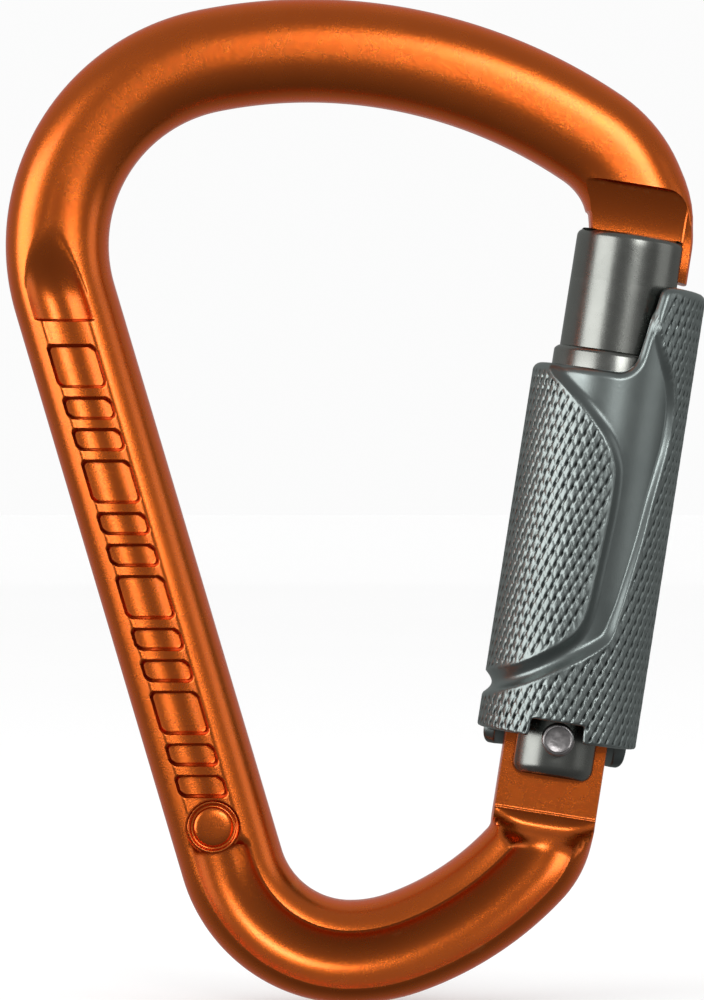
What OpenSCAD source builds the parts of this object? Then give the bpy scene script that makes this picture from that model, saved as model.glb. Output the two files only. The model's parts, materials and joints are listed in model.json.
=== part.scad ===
// Auto-locking pear-shaped carabiner: forged body, sprung gate and triple-action locking sleeve.
// Millimetres. +X points to the gate side, +Z to the wide end, and the front faces -Y.
// The origin is the point of the wide basket that a rope bears on.

/* [Forged body] */
// Width of the bar in the plane of the loop
bar_w = 11.8; // [11.6:0.1:12.2]
// Thickness of the bar across the loop
bar_t = 10.6; // [10.4:0.1:11.6]
// Radius of the bar's rounded edges
bar_round = 4.4; // [3.5:0.1:5]
// Depth of the channel in each face of the spine and the narrow end
channel_depth = 1.9; // [1:0.1:2.4]
// Width of that channel
channel_w = 7; // [5:0.5:8]

/* [Loop outline] */
// Centreline radius of the wide basket
basket_r = 58; // [56:0.5:60]
// Turn of the wide basket on the spine side, in degrees
basket_spine_turn = 11.5; // [11:0.5:12]
// Turn of the wide basket on the gate side, in degrees
basket_gate_turn = 34.2; // [34:0.1:34.4]
// Radius of the bend over the nose
nose_bend_r = 12.6; // [12:0.1:13]
// Turn of the bend over the nose, in degrees
nose_bend_turn = 38.1; // [37:0.1:39]
// Radius of the short bend that brings the nose in line with the gate
nose_end_r = 6.2; // [6:0.1:6.5]
// Radius of the bend from the wide basket into the spine
shoulder_r = 21.6; // [21:0.1:22]
// Turn of that bend, in degrees
shoulder_turn = 95; // [94.5:0.5:95.5]
// Radius of the bend from the spine into the narrow end
heel_r = 14.1; // [13.8:0.1:14.4]
// Turn of that bend, in degrees
heel_turn = 73; // [72:0.5:74]
// Radius of the narrow basket
narrow_r = 18.5; // [18:0.5:19]
// Turn of the narrow basket, in degrees
narrow_turn = 20; // [19:0.5:21]
// Radius of the long run from the narrow basket to the hinge
toe_r = 35; // [34:0.5:36]
// Turn of that run, in degrees
toe_turn = 27.5; // [27:0.5:28]
// Radius of the bend under the hinge
hinge_bend_r = 7.3; // [7:0.1:7.6]

/* [Gate] */
// Distance from the rivet up to the foot of the nose bend
gate_span = 60.1; // [59.6:0.1:60.4]
// Lean of the gate from upright, in degrees
gate_lean = 8.9; // [8.6:0.1:9.2]
// How far the gate opens, in degrees
gate_opening = 27; // [20:1:27]
// Radius of the gate's head, above the sleeve
head_r = 6.54; // [6.5:0.02:6.6]
// Radius of the gate's shaft, inside the sleeve
shaft_r = 5.4; // [5.3:0.05:5.5]
// Thickness of the nose plate
nose_t = 6; // [5.6:0.1:6.2]
// Thickness of the hinge tang
tang_t = 4.8; // [4.4:0.1:5]
// Radius of the rivet
rivet_r = 1.5; // [1.4:0.05:1.6]
// Radius of the rivet's heads
rivet_head_r = 1.88; // [1.7:0.02:1.9]

/* [Locking sleeve] */
// Outer radius of the sleeve
sleeve_r = 9.22; // [9.1:0.02:9.4]
// Radius of the sleeve's bore
sleeve_bore_r = 7.35; // [7.35:0.01:7.4]
// Height of the sleeve's main top edge above the rivet
sleeve_top = 42.3; // [42:0.1:42.5]
// How far the sleeve lifts before it may turn
sleeve_lift = 3.9; // [3.5:0.1:4]
// Height of the locking lobe above the rivet
lobe_top = 52.8; // [52.5:0.1:52.8]

/* [Hidden] */
$fn = 96;
eps = 0.01;

// Body: the loop is a chain of arcs walked from the nose over the wide basket and down the spine.
hinge_to_shoulder = 8.8;
gate_heading = 90 - gate_lean;
apex = [0, bar_w / 2, 180];
nose_end_turn = 180 - basket_gate_turn - nose_bend_turn - gate_heading;
hinge_bend_turn = 180 + gate_heading - basket_spine_turn - shoulder_turn - heel_turn - narrow_turn - toe_turn;
nose_start = walk(apex, [
    [basket_r, -basket_gate_turn],
    [nose_bend_r, -nose_bend_turn],
    [nose_end_r, -nose_end_turn]
]);
channel_turn = 28;
// Each piece is [radius, turn in degrees, has the channel]; radius 0 is a straight with its length.
upper_pieces = [
    [nose_end_r, nose_end_turn, false],
    [nose_bend_r, nose_bend_turn, false],
    [basket_r, basket_gate_turn + basket_spine_turn, false],
    [shoulder_r, shoulder_turn - channel_turn, false],
    [shoulder_r, channel_turn, true]
];
lower_pieces = [
    [heel_r, heel_turn, true],
    [narrow_r, narrow_turn, true],
    [toe_r, toe_turn, true],
    [hinge_bend_r, hinge_bend_turn, true]
];
spine_start = walk(nose_start, upper_pieces);
// The spine is as long as it must be for the narrow end to come up in line with the gate.
loop_miss = across_gate(walk(spine_start, lower_pieces));
spine_l = loop_miss / sin(spine_start[2] - gate_heading);
bend_end = walk(run_end(spine_start, spine_l), lower_pieces);
hinge = run_end(nose_start, -gate_span);
hinge_run = along_gate(hinge) - along_gate(bend_end) - hinge_to_shoulder;
loop_pieces = concat(upper_pieces, [[0, spine_l, true]], lower_pieces, [[0, hinge_run, false]]);
// Neighbouring pieces differ by a hair in section and run into each other, so that they fuse cleanly.
lap = 0.3;
lap_step = 0.02;
channel_offset = 0.5;
channel_r = (pow(channel_w / 2, 2) + pow(channel_depth, 2)) / (2 * channel_depth);
channel_y = bar_t / 2 - channel_depth + channel_r;
// The channel begins in a round hollow, a little shallower and tighter than itself.
runout_depth = 0.85 * channel_depth;
runout_r = 0.8 * channel_r;

// Nose, measured up the gate from the rivet.
step_z = gate_span + 3.7;
plate_in = -5.1;
plate_out = 6.7;
plate_out_r = 7;
plate_bend_z = 57.5;
plate_root = 2;
nose_clear = 0.35;
nose_tip_r = norm([lobe_top, sleeve_r]) + nose_clear;
tang_half_w = bar_w / 2 + 0.03;
tang_top = 4.9;
tang_corner_r = 3;
tang_root = 1.5;

// Gate, measured up the gate from the rivet.
slot_play = 0.2;
ear_end = 4.7;
ear_round = 1.3;
head_bottom = 38;
gate_top = step_z - 5.6;
head_round = 0.8;
lower_slot_top = 6.9;
upper_slot_floor = lobe_top - 0.4;
upper_slot_in = plate_in - 0.15;
gate_bore_r = 2;
gate_bore_top = 34;
rivet_play = 0.05;
rivet_reach = 7;

// Plunger: its ball end rides on the flat top of the tang.
plunger_ball_r = 1.3;
plunger_r = 1.9;
plunger_shoulder = 8;
plunger_top = 12;
contact_gap = 0.02;
gate_wire_r = 0.28;
gate_coil_r = 1.45;
gate_coil_turns = 14;

// Sleeve assembly.
lobe_left = 3.4;
lobe_fillet = 3;
lobe_round = 1;
rivet_window_left = 3.7;
rivet_window_right = 2.8;
rivet_window_top = 2;
skirt_r = 8.75;
skirt_drop = 2.7;
skirt_gap = 2.6;
skirt_round = 1.2;
insert_bottom = 7;
insert_top = 20;
insert_in_r = shaft_r + 0.1;
washer_t = 1;
washer_play = 0.1;
seat_t = 1.4;
collar_r = 7.13;
collar_bottom = 40;
collar_top = 44.6;
collar_chamfer = 0.4;
pin_r = 0.8;
pin_z = 13.8;
pin_in = 2.4;
pin_play = 0.2;
twist_each_way = 90;
sleeve_wire_r = 0.45;
sleeve_coil_r = 6.35;
sleeve_coil_turns = 6;

// A pose on the loop is [x, z, heading]; all arcs turn left, so the inside of the loop is on the left.
function arc_end(p, r, turn) = [
    p[0] + r * (sin(p[2] + turn) - sin(p[2])),
    p[1] - r * (cos(p[2] + turn) - cos(p[2])),
    p[2] + turn
];
function run_end(p, l) = [p[0] + l * cos(p[2]), p[1] + l * sin(p[2]), p[2]];
function piece_end(p, piece) = piece[0] == 0 ? run_end(p, piece[1]) : arc_end(p, piece[0], piece[1]);
function walk(p, pieces, i = 0) =
    i == len(pieces) ? p : walk(piece_end(p, pieces[i]), pieces, i + 1);
// The poses at which the pieces start.
function starts(p, pieces, i = 0) =
    i == len(pieces) ? [] : concat([p], starts(piece_end(p, pieces[i]), pieces, i + 1));
function across_gate(p) =
    (p[0] - nose_start[0]) * sin(gate_heading) - (p[1] - nose_start[1]) * cos(gate_heading);
function along_gate(p) = p[0] * cos(gate_heading) + p[1] * sin(gate_heading);

// The bar's section, grown by g: a rounded rectangle with X to the outside of the loop.
module bar_section(g, dished) {
    difference() {
        union() {
            square([bar_w + 2 * g, bar_t - 2 * bar_round], center = true);
            square([bar_w - 2 * bar_round, bar_t + 2 * g], center = true);
            for (x = [-1, 1], y = [-1, 1])
                translate([x * (bar_w / 2 - bar_round), y * (bar_t / 2 - bar_round)])
                circle(r = bar_round + g);
        }
        if (dished)
            for (y = [-1, 1])
                translate([channel_offset, y * channel_y])
                circle(r = channel_r - g);
    }
}

// Puts its children at a pose: +X to the outside of the loop, +Y ahead, +Z to the front.
module at_pose(p) {
    translate([p[0], 0, p[1]])
    rotate([90, 0, 0])
    rotate([0, 0, p[2] - 90])
    children();
}

// One piece of the bar from a pose, extended at both ends by `extra`.
module bar_piece(p, piece, g, extra) {
    r = piece[0];
    if (r == 0) {
        at_pose(run_end(p, -extra))
        rotate([-90, 0, 0])
        linear_extrude(height = piece[1] + 2 * extra)
        bar_section(g, piece[2]);
    } else {
        more = extra / r * 180 / PI;
        at_pose(p)
        translate([-r, 0, 0])
        rotate([0, 0, -more])
        rotate_extrude(angle = piece[1] + 2 * more)
        translate([r, 0])
        bar_section(g, piece[2]);
    }
}

// Skin over a list of rings with the same number of points, closed by its two end rings.
module skin(rings) {
    m = len(rings[0]);
    last = (len(rings) - 1) * m;
    polyhedron(
        points = [for (r = rings) each r],
        faces = concat(
            [[for (i = [0:m - 1]) i]],
            [for (k = [0:len(rings) - 2], i = [0:m - 1]) [
                k * m + i, (k + 1) * m + i, (k + 1) * m + (i + 1) % m, k * m + (i + 1) % m]],
            [[for (i = [m - 1:-1:0]) last + i]]
        ),
        convexity = 10
    );
}

// Coil spring about Z with closed ends, from z0 to z1.
module coil(coil_r, wire_r, turns, z0, z1, sides, steps) {
    total = turns * steps;
    closed = steps;
    rise = z1 - z0 - 2 * wire_r;
    skin([
        for (k = [0:total])
        let (
            a = 360 * k / steps,
            t = max(0, min(1, (k - closed) / (total - 2 * closed))),
            lead = wire_r * 2.1 * (min(k, closed) + max(0, k - total + closed)) / closed,
            z = z0 + wire_r + lead + (rise - wire_r * 4.2) * t
        )
        [for (i = [0:sides - 1])
            let (b = -360 * i / sides, r = coil_r + wire_r * cos(b))
            [r * cos(a), r * sin(a), z + wire_r * sin(b)]]
    ]);
}

// Puts its children in the gate's frame: the rivet at the origin and +Z up the gate.
module on_gate() {
    translate([hinge[0], 0, hinge[1]])
    rotate([0, gate_lean, 0])
    children();
}

// Box from its lowest and highest corners.
module span(low, high) {
    translate(low)
    cube(high - low);
}

// Ring with a bore, from z0 to z1.
module ring(r_out, r_in, z0, z1) {
    translate([0, 0, z0])
    difference() {
        cylinder(r = r_out, h = z1 - z0);
        translate([0, 0, -1])
        cylinder(r = r_in, h = z1 - z0 + 2);
    }
}

// Solid of revolution with rounded or sharp edges: a rod from z0 to z1.
module round_rod(r, z0, z1, round_low, round_high) {
    rotate_extrude()
    intersection() {
        union() {
            translate([0, z0 + round_low])
            square([r, z1 - z0 - round_low - round_high]);
            translate([0, z0])
            square([r - round_low, z1 - z0]);
            translate([0, z0 + round_low])
            square([r - round_high, z1 - z0 - round_low]);
            for (edge = [[round_low, z0 + round_low], [round_high, z1 - round_high]])
                translate([r - edge[0], edge[1]])
                circle(r = edge[0]);
        }
        translate([0, z0])
        square([r, z1 - z0]);
    }
}

// Upright plate across the gate's axis, with a round-cornered top, t thick along Y.
module tang_plate() {
    rotate([90, 0, 0])
    linear_extrude(height = tang_t, center = true)
    union() {
        translate([-tang_half_w, -hinge_to_shoulder - tang_root])
        square([2 * tang_half_w, hinge_to_shoulder + tang_root + tang_top - tang_corner_r]);
        translate([-tang_half_w + tang_corner_r, 0])
        square([2 * (tang_half_w - tang_corner_r), tang_top]);
        for (side = [-1, 1])
            translate([side * (tang_half_w - tang_corner_r), tang_top - tang_corner_r])
            circle(r = tang_corner_r);
    }
}

// Nose plate: flush with the gate outside, and ended by an arc about the rivet.
module nose_plate() {
    difference() {
        intersection() {
            rotate([90, 0, 0])
            linear_extrude(height = nose_t, center = true)
            polygon([
                [plate_in, upper_slot_floor],
                [plate_out, upper_slot_floor],
                [plate_out, plate_bend_z],
                [bar_w / 2 - 0.2, step_z],
                [bar_w / 2 - 0.8, step_z + plate_root],
                [plate_in, step_z + plate_root]
            ]);
            translate([0, 0, upper_slot_floor - 1])
            cylinder(r = plate_out_r, h = step_z);
        }
        rotate([90, 0, 0])
        cylinder(r = nose_tip_r, h = 2 * bar_t, center = true, $fn = 180);
    }
}

module body() {
    poses = starts(nose_start, loop_pieces);
    first_dished = len(upper_pieces) - 1;
    color("darkorange")
    union() {
        difference() {
            for (i = [0:len(loop_pieces) - 1])
                bar_piece(poses[i], loop_pieces[i], i % 2 * lap_step, (1 - i % 2) * lap);
            on_gate()
            span([-bar_w, -bar_t, gate_span - 5], [bar_w, bar_t, step_z]);
            for (side = [-1, 1])
                at_pose(poses[first_dished])
                translate([channel_offset, 0, side * (bar_t / 2 - runout_depth + runout_r)])
                sphere(r = runout_r);
        }
        on_gate()
        nose_plate();
        on_gate()
        difference() {
            tang_plate();
            rotate([90, 0, 0])
            cylinder(r = rivet_r + rivet_play, h = 2 * tang_t, center = true);
        }
    }
}

module hinge_rivet() {
    head_h = rivet_reach - shaft_r + 1.2;
    color("silver")
    on_gate()
    rotate([90, 0, 0])
    union() {
        cylinder(r = rivet_r, h = 2 * rivet_reach - 1, center = true);
        for (side = [-1, 1])
            translate([0, 0, side * (rivet_reach - head_h / 2)])
            cylinder(r = rivet_head_r, h = head_h, center = true);
    }
}

module gate_tube() {
    head_h = rivet_reach - shaft_r + 1.2;
    color("slategray")
    on_gate()
    difference() {
        union() {
            round_rod(shaft_r, -ear_end, head_bottom + 1, ear_round, 0.1);
            round_rod(head_r, head_bottom, gate_top, 0.1, head_round);
        }
        span([-shaft_r - 1, -tang_t / 2 - slot_play, -ear_end - 1],
             [shaft_r + 1, tang_t / 2 + slot_play, lower_slot_top]);
        span([upper_slot_in, -nose_t / 2 - slot_play, upper_slot_floor],
             [head_r + 1, nose_t / 2 + slot_play, gate_top + 1]);
        cylinder(r = gate_bore_r, h = gate_bore_top);
        rotate([90, 0, 0])
        cylinder(r = rivet_r, h = 4 * shaft_r, center = true);
        for (side = [-1, 1])
            rotate([90, 0, 0])
            translate([0, 0, side * (rivet_reach - head_h / 2)])
            cylinder(r = rivet_head_r, h = head_h, center = true);
        translate([0, pin_in, pin_z])
        rotate([-90, 0, 0])
        cylinder(r = pin_r, h = shaft_r);
    }
}

module gate_plunger() {
    tip = tang_top + contact_gap;
    color("gainsboro")
    on_gate()
    union() {
        translate([0, 0, tip + plunger_ball_r])
        sphere(r = plunger_ball_r);
        translate([0, 0, tip + plunger_ball_r])
        cylinder(r = plunger_ball_r, h = plunger_shoulder - tip - plunger_ball_r + eps);
        translate([0, 0, plunger_shoulder])
        cylinder(r = plunger_r, h = plunger_top - plunger_shoulder);
    }
}

module gate_spring() {
    color("silver")
    on_gate()
    coil(gate_coil_r, gate_wire_r, gate_coil_turns, plunger_top, gate_bore_top, 6, 12);
}

module guide_collar() {
    color("darkgray")
    on_gate()
    rotate_extrude()
    polygon([
        [head_r, collar_bottom],
        [collar_r, collar_bottom],
        [collar_r, collar_top - collar_chamfer],
        [collar_r - collar_chamfer, collar_top],
        [head_r, collar_top]
    ]);
}

module guide_pin() {
    color("silver")
    on_gate()
    translate([0, pin_in, pin_z])
    rotate([-90, 0, 0])
    cylinder(r = pin_r, h = rivet_reach - pin_in);
}

module spring_seat() {
    color("silver")
    on_gate()
    ring(collar_r, shaft_r + contact_gap, head_bottom - seat_t, head_bottom - contact_gap);
}

module sleeve_spring() {
    color("silver")
    on_gate()
    coil(sleeve_coil_r, sleeve_wire_r, sleeve_coil_turns, insert_top + washer_t, head_bottom - seat_t, 8, 20);
}

module thrust_washer() {
    color("silver")
    on_gate()
    ring(sleeve_bore_r - washer_play, shaft_r + washer_play, insert_top, insert_top + washer_t);
}

// Liner with a window for the guide pin, tall enough for the lift and wide enough for the twist.
module cam_insert() {
    window_low = pin_z - pin_r - pin_play - sleeve_lift;
    window_high = pin_z + pin_r + pin_play;
    window_past = asin((pin_r + pin_play) / insert_in_r);
    color("dimgray")
    on_gate()
    difference() {
        ring(sleeve_bore_r, insert_in_r, insert_bottom, insert_top);
        translate([0, 0, window_low])
        rotate([0, 0, 90 - twist_each_way - window_past])
        rotate_extrude(angle = 2 * (twist_each_way + window_past))
        translate([insert_in_r - 1, 0])
        square([sleeve_bore_r - insert_in_r + 2, window_high - window_low]);
    }
}

// What is cut from the sleeve's blank beside the lobe, seen from the front.
module beside_lobe() {
    rotate([90, 0, 0])
    linear_extrude(height = 4 * sleeve_r, center = true)
    difference() {
        translate([-2 * sleeve_r, sleeve_top])
        square([2 * sleeve_r + lobe_left, lobe_top]);
        difference() {
            translate([lobe_left - lobe_fillet, sleeve_top - 1])
            square([lobe_fillet, lobe_fillet + 1]);
            translate([lobe_left - lobe_fillet, sleeve_top + lobe_fillet])
            circle(r = lobe_fillet);
        }
    }
}

// The two rounded skirts under the sleeve's back half, which pass either side of the tang.
module skirts() {
    intersection() {
        translate([0, 0, -skirt_drop])
        ring(skirt_r, sleeve_bore_r, 0, skirt_drop + 1);
        rotate([90, 0, 0])
        linear_extrude(height = 2 * sleeve_r)
        for (side = [-1, 1])
            mirror([side > 0 ? 0 : 1, 0, 0])
            union() {
                translate([skirt_gap + skirt_round, -skirt_drop])
                square([sleeve_r, skirt_drop + 1]);
                translate([skirt_gap, -skirt_drop + skirt_round])
                square([sleeve_r, skirt_drop + 1]);
                translate([skirt_gap + skirt_round, -skirt_drop + skirt_round])
                circle(r = skirt_round);
            }
        span([-sleeve_r, skirt_gap, -skirt_drop - 1], [sleeve_r, sleeve_r, 1]);
    }
}

module locking_sleeve() {
    color("darkslategray")
    on_gate()
    union() {
        difference() {
            round_rod(sleeve_r, 0, lobe_top, 0.5, lobe_round);
            translate([0, 0, -1])
            cylinder(r = sleeve_bore_r, h = lobe_top + 2);
            beside_lobe();
            span([-rivet_window_left, -2 * sleeve_r, -1], [rivet_window_right, 2 * sleeve_r, rivet_window_top]);
        }
        skirts();
    }
}

body();
hinge_rivet();
gate_tube();
gate_plunger();
gate_spring();
guide_collar();
guide_pin();
spring_seat();
sleeve_spring();
thrust_washer();
cam_insert();
locking_sleeve();
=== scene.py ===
"""Looks of the auto-locking carabiner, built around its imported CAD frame.

Shapes are worked out in millimetres and stored in metres. The front faces -Y and the gate is on +X.
"""
import json
import math

import bpy
import bmesh
import numpy as np
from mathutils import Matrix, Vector


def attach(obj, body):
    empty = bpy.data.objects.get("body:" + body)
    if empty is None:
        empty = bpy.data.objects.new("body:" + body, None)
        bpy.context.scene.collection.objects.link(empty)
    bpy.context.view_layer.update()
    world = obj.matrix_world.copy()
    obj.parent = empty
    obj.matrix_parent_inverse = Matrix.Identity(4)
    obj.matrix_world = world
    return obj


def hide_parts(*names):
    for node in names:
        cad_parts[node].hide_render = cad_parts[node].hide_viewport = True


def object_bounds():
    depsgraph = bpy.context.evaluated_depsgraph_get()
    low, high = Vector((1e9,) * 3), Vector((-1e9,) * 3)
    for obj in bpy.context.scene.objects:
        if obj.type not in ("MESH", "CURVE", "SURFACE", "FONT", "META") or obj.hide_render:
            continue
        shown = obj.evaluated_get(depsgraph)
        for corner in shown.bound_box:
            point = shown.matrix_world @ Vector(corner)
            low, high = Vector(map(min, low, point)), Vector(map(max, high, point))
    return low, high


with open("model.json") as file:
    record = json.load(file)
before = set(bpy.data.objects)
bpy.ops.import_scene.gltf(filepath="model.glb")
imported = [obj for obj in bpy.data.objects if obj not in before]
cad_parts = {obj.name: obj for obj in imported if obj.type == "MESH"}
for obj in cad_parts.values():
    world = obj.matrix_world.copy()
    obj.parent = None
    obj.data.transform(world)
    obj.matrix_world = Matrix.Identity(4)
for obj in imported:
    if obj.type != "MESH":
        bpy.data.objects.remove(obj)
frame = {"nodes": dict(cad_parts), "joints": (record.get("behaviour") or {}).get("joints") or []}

cad_low, cad_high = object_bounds()
MM = 0.001
TURN = 2 * math.pi
SHARP_DEG = 40.0         # edges that bend more than this are drawn sharp, unless a piece says otherwise
JOINTS = {joint["name"]: joint for joint in frame["joints"]}

# ---------------------------------------------------------------- the gate's own frame
HINGE = np.array(JOINTS["gate_hinge"]["pos_m"]) / MM
UP = np.array(JOINTS["sleeve_twist"]["axis"])
UP = UP / np.linalg.norm(UP)
OUT = np.array([UP[2], 0.0, -UP[0]])
HEADING = math.degrees(math.atan2(UP[2], UP[0]))


def gate_point(u, y, z):
    """World millimetres of a point that is u outward, y to the rear and z up the gate from the rivet."""
    u, y, z = np.broadcast_arrays(np.asarray(u, float), np.asarray(y, float), np.asarray(z, float))
    return HINGE + u[..., None] * OUT + y[..., None] * np.array([0.0, 1.0, 0.0]) + z[..., None] * UP


def on_gate(points):
    """World millimetres of rows of (u, y, z)."""
    return gate_point(points[:, 0], points[:, 1], points[:, 2])


# ---------------------------------------------------------------- small maths
def smooth(low, high, x):
    """0 up to low and 1 from high on, with an even curve between."""
    t = np.clip((np.asarray(x, float) - low) / (high - low), 0.0, 1.0)
    return t * t * (3 - 2 * t)


def soft_min(a, b, k):
    """The lower of a and b, blended where they are within k of each other."""
    h = np.clip(0.5 + 0.5 * (b - a) / k, 0.0, 1.0)
    return b + (a - b) * h - k * h * (1 - h)


def circle(turns):
    return np.linspace(0, TURN, turns, endpoint=False)


def round_box(dx, dy, half_x, half_y, r):
    """Signed distance to a rounded rectangle, negative inside."""
    qx = np.abs(dx) - half_x + r
    qy = np.abs(dy) - half_y + r
    return np.hypot(np.maximum(qx, 0), np.maximum(qy, 0)) + np.minimum(np.maximum(qx, qy), 0) - r


def line_distance(px, py, line):
    """Distance from points to an open polyline."""
    best = np.full(np.shape(px), np.inf)
    for (ax, ay), (bx, by) in zip(line[:-1], line[1:]):
        dx, dy = bx - ax, by - ay
        t = np.clip(((px - ax) * dx + (py - ay) * dy) / (dx * dx + dy * dy + 1e-12), 0, 1)
        best = np.minimum(best, np.hypot(px - ax - t * dx, py - ay - t * dy))
    return best


def inside_polygon(px, py, polygon):
    """Which points lie inside a closed polygon."""
    inside = np.zeros(np.shape(px), bool)
    for (ax, ay), (bx, by) in zip(polygon, polygon[1:] + polygon[:1]):
        crosses = (ay > py) != (by > py)
        edge_x = (bx - ax) * (py - ay) / (by - ay if by != ay else 1e-12) + ax
        inside ^= crosses & (px < edge_x)
    return inside


def curve_through(points, steps):
    """Catmull-Rom curve through points."""
    p = [points[0]] + list(points) + [points[-1]]
    out = []
    for a, b, c, d in zip(p, p[1:], p[2:], p[3:]):
        a, b, c, d = map(np.array, (a, b, c, d))
        for i in range(steps):
            t = i / steps
            q = 0.5 * (2 * b + (c - a) * t + (2 * a - 5 * b + 4 * c - d) * t ** 2
                       + (3 * b - a - 3 * c + d) * t ** 3)
            out.append((float(q[0]), float(q[1])))
    out.append(tuple(float(v) for v in points[-1]))
    return out


# ---------------------------------------------------------------- meshes
def mesh_object(name, points_mm, faces, sharp=SHARP_DEG, painted_shade=None):
    """Object from points and faces; the optional per-point value, from 0 to 1, says how far painted shade
    darkens it.
    """
    mesh = bpy.data.meshes.new(name)
    mesh.from_pydata((np.asarray(points_mm) * MM).tolist(), [], faces)
    if painted_shade is not None:
        attribute = mesh.attributes.new("painted_shade", "FLOAT", "POINT")
        attribute.data.foreach_set("value", np.ravel(painted_shade).astype("f"))
    mesh.validate()
    bm = bmesh.new()
    bm.from_mesh(mesh)
    bmesh.ops.remove_doubles(bm, verts=bm.verts, dist=2e-7)
    bmesh.ops.dissolve_degenerate(bm, edges=bm.edges, dist=1e-7)
    bmesh.ops.recalc_face_normals(bm, faces=bm.faces)
    bm.to_mesh(mesh)
    bm.free()
    mesh.shade_smooth()
    mesh.set_sharp_from_angle(angle=math.radians(sharp))
    piece = bpy.data.objects.new(name, mesh)
    bpy.context.scene.collection.objects.link(piece)
    return piece


def ring_faces(count, size, closed=False):
    """Quads between `count` rings of `size` points; closed joins the last ring to the first."""
    faces = []
    for k in range(count if closed else count - 1):
        a, b = k * size, (k + 1) % count * size
        for i in range(size):
            j = (i + 1) % size
            faces.append((a + i, a + j, b + j, b + i))
    return faces


def end_faces(count, size):
    """The two faces that close a stack of `count` rings of `size` points."""
    return [tuple(range(size)), tuple(range((count - 1) * size, count * size))]


def turned_across(name, profile, place, turns, sharp=SHARP_DEG, capped=False):
    """Solid of revolution about an axis along Y, from (radius, y) points; place puts it in the world."""
    angles = circle(turns)
    rings = [place(r * np.cos(angles), y, r * np.sin(angles)) for r, y in profile]
    faces = ring_faces(len(rings), turns)
    if capped:
        faces += end_faces(len(rings), turns)
    return mesh_object(name, np.concatenate(rings), faces, sharp)


def turned_ring(name, profile, turns, sharp):
    """Ring about the gate's axis, from a closed run of (radius, z) points."""
    angles = circle(turns)
    rings = [gate_point(r * np.sin(angles), -r * np.cos(angles), z) for r, z in profile]
    return mesh_object(name, np.concatenate(rings), ring_faces(len(rings), turns, closed=True), sharp)


def both_faces(half):
    """A profile of (radius, y) points carried on to the other face."""
    return half + [(r, -y) for r, y in reversed(half)]


def cut(piece, cutter):
    """Take the cutter's volume out of the piece and delete the cutter."""
    modifier = piece.modifiers.new("cut", "BOOLEAN")
    modifier.operation = "DIFFERENCE"
    modifier.solver = "MANIFOLD"
    modifier.object = cutter
    bpy.context.view_layer.update()
    evaluated = piece.evaluated_get(bpy.context.evaluated_depsgraph_get())
    mesh = bpy.data.meshes.new_from_object(evaluated)
    piece.modifiers.clear()
    piece.data = mesh
    bpy.data.objects.remove(cutter)
    mesh.shade_smooth()
    mesh.set_sharp_from_angle(angle=math.radians(SHARP_DEG))


# ---------------------------------------------------------------- forged body
BAR_HALF_W = 5.9
BAR_HALF_T = 5.3
PAST_FACE = 9.0          # a height that clears the bar's face
# Milled ends, as heights up the gate from the rivet
NOSE_TIP = 53.949
NOSE_FOOT = 60.1
NOSE_HALF_T = 3.0
SCOOP_FROM = 58.0
SCOOP_R = 11.4
TANG_TOP = 4.9
SHOULDER = -8.8
TANG_HALF_T = 2.4
TANG_CORNER = 3.0
TANG_BORE_R = 1.55
# The loop from the nose tip over the wide basket and the spine to the tang's top: [radius, turn in degrees];
# radius 0 is a straight with its length. It turns left, so the inside of the loop is on the left.
LOOP = [
    (0, NOSE_FOOT - NOSE_TIP), (6.2, 26.6), (12.6, 38.1), (58.0, 45.7), (21.6, 95.0), (0, 67.705),
    (14.1, 73.0), (18.5, 20.0), (35.0, 27.5), (7.3, 34.1), (0, 1.934 + TANG_TOP - SHOULDER),
]
# Distances along the loop: the nose ends before the first, the channel starts at the second, and the tang and
# its shoulder lie beyond the third
NEAR_NOSE = 20.0
CHANNEL_FROM = 86.0
NEAR_TANG = 205.0
# Spacing of the rings along the loop: [where it ends, widest step]
SPACING = [(13, 0.3), (86, 0.75), (101, 0.4), (165, 0.5), (206, 0.5), (228.3, 0.17), (math.inf, 0.2)]
# The forged channel: its middle line, and the run of slanting pockets in the plate on its floor
CHANNEL_N = 0.75
CHANNEL_R = 4.17
CHANNEL_DEPTH = 2.1
PLATE_FROM = 102.0
PLATE_TO = 164.0
PLATE_SINK = 0.72
PLATE_R = 7.2
POCKET_SINK = 2.5
POCKET_R = 5.0
POCKET_HALF = 2.6
POCKET_CORNER = 0.7
POCKET_LENGTHS = (4.9, 2.4, 2.4) * 4
POCKET_GAP = 1.35
POCKET_FROM = 105.0
POCKET_SLANT = 0.3
WALL = 0.2
WALL_LINES = (-0.95, -0.75, -0.58, -0.42, -0.28, -0.2, -0.12, -0.04, 0.04, 0.12, 0.2, 0.28)
# The round boss below the pockets, as [radius, depth under the bar's face]: a disc in a groove inside a ridge
BOSS_S = 162.3
BOSS_TURNS = 96
BOSS_PIT_R = 3.2
BOSS_PIT_DEPTH = 1.5
BOSS = [(0.0, 0.86), (1.1, 0.87), (1.8, 0.93), (2.12, 1.02), (2.24, 1.12), (2.3, 1.3), (2.42, 1.34),
        (2.54, 1.28), (2.6, 1.0), (2.66, 0.8), (2.74, 0.7), (2.84, 0.68), (2.93, 0.74), (2.99, 0.9),
        (3.03, 1.2), (3.05, 2.9)]


def pocket_runs():
    """Start and end of each pocket along the loop."""
    runs, at = [], POCKET_FROM
    for length in POCKET_LENGTHS:
        runs.append((at, at + length))
        at += length + POCKET_GAP
    return runs


def filled(lines, widest):
    """Sorted lines with every gap wider than widest(at) divided evenly."""
    lines = sorted(lines)
    out = [lines[0]]
    for a, b in zip(lines[:-1], lines[1:]):
        if b - a < 0.03:
            continue
        count = max(1, math.ceil((b - a) / widest((a + b) / 2) - 1e-6))
        out += list(np.linspace(a, b, count + 1)[1:])
    return np.array(out)


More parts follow.
